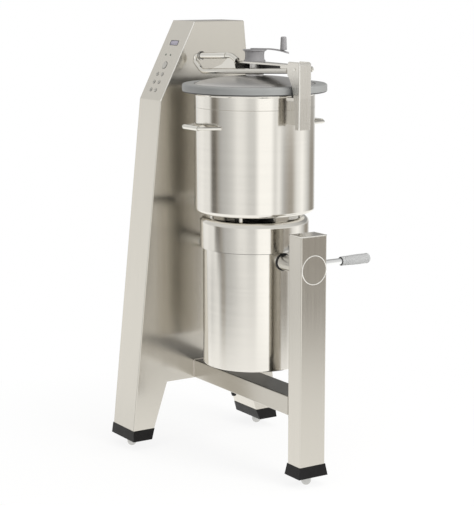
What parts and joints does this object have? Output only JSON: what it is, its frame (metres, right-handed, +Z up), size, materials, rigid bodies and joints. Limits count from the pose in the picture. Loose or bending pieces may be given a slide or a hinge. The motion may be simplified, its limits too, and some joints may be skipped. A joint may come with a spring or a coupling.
{
  "type": "vertical cutter mixer",
  "caption": "Floor-standing vertical cutter mixer: tilting motor and steel bowl between a tall control column and a short post, with hinged lid, loop handle and hand-cranked wiper.",
  "frame": {"origin": "on the floor, under the middle of the three feet's outer edges", "axes": "+X from the column to the post, -Y towards the operator, +Z up"},
  "size_m": [0.767, 0.569, 1.4],
  "materials": {
    "column_steel": "brushed",
    "polished_steel": "polished",
    "bracket_steel": "satin",
    "bright_steel": "polished",
    "black_plastic": "matt",
    "dark_rubber": "matt",
    "rim_rubber": "matt",
    "grip_plastic": "satin",
    "grey_plastic": "satin",
    "white_plastic": "satin",
    "blade_steel": "ground",
    "machined_steel": "turned",
    "core_steel": "laminated",
    "copper": "varnished wire",
    "cover_alloy": "cast",
    "zinc_plate": "zinc plated",
    "drive_plastic": "matt",
    "board_green": "matt",
    "display_glass": "glossy",
    "button_grey": "satin",
    "button_round": "satin"
  },
  "bodies": {
    "frame": {"column_shell": "column_steel", "rear_cover": "column_steel", "cover_screws": "bright_steel", "control_board": "board_green", "display_window": "display_glass", "mounting_plate": "zinc_plate", "drive_unit": "drive_plastic", "crossbar": "column_steel", "crossbar_plug": "dark_rubber", "post_tube": "column_steel", "post_cap": "column_steel", "foot_boots": "black_plastic", "foot_glides": "dark_rubber", "column_bearing": "machined_steel", "post_bushing": "machined_steel", "bearing_cap": "column_steel", "lock_bushing": "machined_steel"},
    "lock": {"lock_rod": "bright_steel", "lock_grip": "grip_plastic", "lock_spring": "bright_steel"},
    "tilting_unit": {"motor_housing": "polished_steel", "motor_top_ring": "polished_steel", "motor_bottom_cover": "cover_alloy", "motor_bearings": "machined_steel", "stator": "core_steel", "stator_windings": "copper", "drive_collar": "black_plastic", "bowl_shell": "polished_steel", "bowl_locators": "polished_steel", "bowl_handles": "bright_steel", "trunnion_left": "polished_steel", "trunnion_right": "polished_steel", "lid_bracket": "bracket_steel", "hinge_pin": "bright_steel", "bracket_buffer": "dark_rubber", "lid_mount": "bracket_steel"},
    "cutter": {"motor_shaft": "machined_steel", "rotor": "core_steel", "blade_hub": "blade_steel", "blade_lower": "blade_steel", "blade_middle": "blade_steel", "blade_upper": "blade_steel"},
    "lid": {"lid_dome": "polished_steel", "lid_rim": "rim_rubber", "lid_boss": "bracket_steel", "lid_frame": "bracket_steel", "lid_arm_front": "bright_steel", "handle_grip": "bright_steel"},
    "wiper": {"wiper_hub": "grey_plastic", "wiper_shaft": "bright_steel", "wiper_crank": "grey_plastic", "scraper": "white_plastic"},
    "knob": {"crank_knob": "grey_plastic"},
    "button_low_left": {"button_low_left": "button_grey"},
    "button_low_right": {"button_low_right": "button_grey"},
    "button_middle_left": {"button_middle_left": "button_grey"},
    "button_middle_right": {"button_middle_right": "button_grey"},
    "button_high_left": {"button_high_left": "button_grey"},
    "button_high_right": {"button_high_right": "button_grey"},
    "round_button": {"round_button": "button_round"}
  },
  "joints": [
    {"name": "bowl_tilt", "type": "hinge", "parent": "frame", "child": "tilting_unit", "pos_m": [0.053, 0, 0.677], "axis": [1, 0, 0], "range_deg": [0, 90]},
    {"name": "lid_lift", "type": "hinge", "parent": "tilting_unit", "child": "lid", "pos_m": [0.299, 0, 1.27], "axis": [0, 1, 0], "range_deg": [0, 105]},
    {"name": "wiper_spin", "type": "hinge", "parent": "lid", "child": "wiper", "pos_m": [0.053, 0, 1.28], "axis": [0, 0, 1], "continuous": true},
    {"name": "knob_spin", "type": "hinge", "parent": "wiper", "child": "knob", "pos_m": [0.12394, 0.05952, 1.33], "axis": [0, 0, 1], "continuous": true},
    {"name": "blade_spin", "type": "hinge", "parent": "tilting_unit", "child": "cutter", "pos_m": [0.053, 0, 0.9], "axis": [0, 0, 1], "continuous": true},
    {"name": "lock_pull", "type": "slide", "parent": "frame", "child": "lock", "axis": [0, 1, 0], "range_m": [0, 0.005], "stiffness_N_per_m": 2500, "springref_m": -0.004, "deforming": ["lock_spring"]},
    {"name": "button_low_left_press", "type": "slide", "parent": "frame", "child": "button_low_left", "axis": [0, 0.8894, -0.4571], "range_m": [0, 0.0015], "stiffness_N_per_m": 700},
    {"name": "button_low_right_press", "type": "slide", "parent": "frame", "child": "button_low_right", "axis": [0, 0.8894, -0.4571], "range_m": [0, 0.0015], "stiffness_N_per_m": 700},
    {"name": "button_middle_left_press", "type": "slide", "parent": "frame", "child": "button_middle_left", "axis": [0, 0.8894, -0.4571], "range_m": [0, 0.0015], "stiffness_N_per_m": 700},
    {"name": "button_middle_right_press", "type": "slide", "parent": "frame", "child": "button_middle_right", "axis": [0, 0.8894, -0.4571], "range_m": [0, 0.0015], "stiffness_N_per_m": 700},
    {"name": "button_high_left_press", "type": "slide", "parent": "frame", "child": "button_high_left", "axis": [0, 0.8894, -0.4571], "range_m": [0, 0.0015], "stiffness_N_per_m": 700},
    {"name": "button_high_right_press", "type": "slide", "parent": "frame", "child": "button_high_right", "axis": [0, 0.8894, -0.4571], "range_m": [0, 0.0015], "stiffness_N_per_m": 700},
    {"name": "round_button_press", "type": "slide", "parent": "frame", "child": "round_button", "axis": [0, 0.8894, -0.4571], "range_m": [0, 0.0015], "stiffness_N_per_m": 700}
  ]
}
